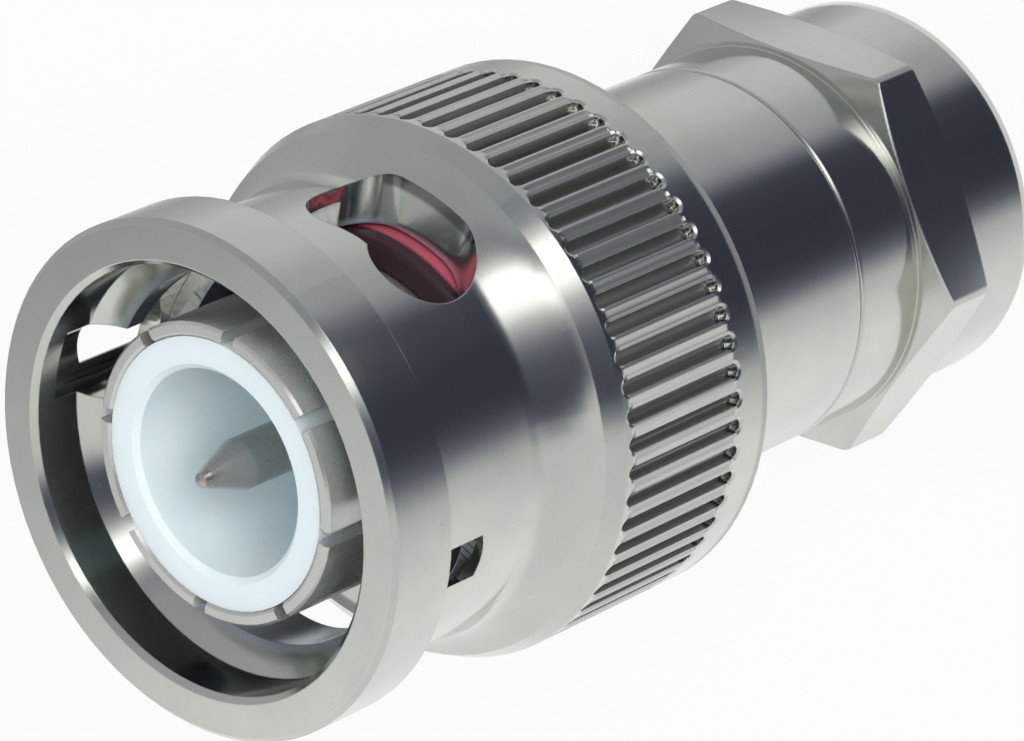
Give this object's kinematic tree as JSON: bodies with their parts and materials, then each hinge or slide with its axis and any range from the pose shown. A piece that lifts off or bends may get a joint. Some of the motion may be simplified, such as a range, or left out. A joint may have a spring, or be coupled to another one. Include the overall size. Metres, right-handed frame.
{
  "type": "coaxial cable plug",
  "caption": "Bayonet coaxial cable plug of the clamp type: a sprung, turning knurled sleeve, slotted contact, insulated centre pin and hex gland nut.",
  "frame": {"origin": "centre of the clamp nut's rear face, on the surface that the plug stands on", "axes": "+Z along the plug's axis from the cable end to the mating end; +X through a corner of the hexagon"},
  "size_m": [0.0144, 0.0144, 0.027],
  "materials": {
    "nickel_sleeve": "bright nickel plate over turned brass",
    "nickel_body": "bright nickel plate over turned brass",
    "nickel_nut": "bright nickel plate over turned brass",
    "nickel_contact": "nickel plate over spring bronze",
    "pin_plating": "dull plated brass pin",
    "dull_nickel": "plain nickel plate",
    "spring_steel": "bare spring steel",
    "white_ptfe": "white PTFE, turned",
    "red_silicone": "soft red silicone",
    "black_rubber": "moulded black rubber"
  },
  "bodies": {
    "plug": {"plug_body": "nickel_body", "outer_contact": "nickel_contact", "mating_gasket": "red_silicone", "front_insulator": "white_ptfe", "rear_insulator": "white_ptfe", "centre_pin": "pin_plating", "braid_clamp": "dull_nickel", "cable_gasket": "black_rubber", "wave_washers": "spring_steel"},
    "spring_seat": {"thrust_washer": "spring_steel"},
    "sleeve": {"coupling_sleeve": "nickel_sleeve", "retaining_ring": "spring_steel"},
    "gland": {"gland_washer": "dull_nickel"},
    "nut": {"clamp_nut": "nickel_nut"}
  },
  "joints": [
    {"name": "sleeve_pull", "type": "slide", "parent": "plug", "child": "spring_seat", "axis": [0, 0, 1], "range_m": [0, 0.0008], "stiffness_N_per_m": 3000, "springref_m": -0.0004, "deforming": ["wave_washers"]},
    {"name": "sleeve_turn", "type": "hinge", "parent": "spring_seat", "child": "sleeve", "pos_m": [0, 0, 0.02], "axis": [0, 0, 1], "continuous": true},
    {"name": "nut_feed", "type": "slide", "parent": "plug", "child": "gland", "axis": [0, 0, -1], "range_m": [0, 0.0028]},
    {"name": "nut_turn", "type": "hinge", "parent": "gland", "child": "nut", "pos_m": [0, 0, 0.004], "axis": [0, 0, -1], "range_deg": [0, 1344]}
  ],
  "couplings": [
    {"joint": "nut_feed", "follows": "nut_turn", "m_per_rad": 0.00011937}
  ]
}
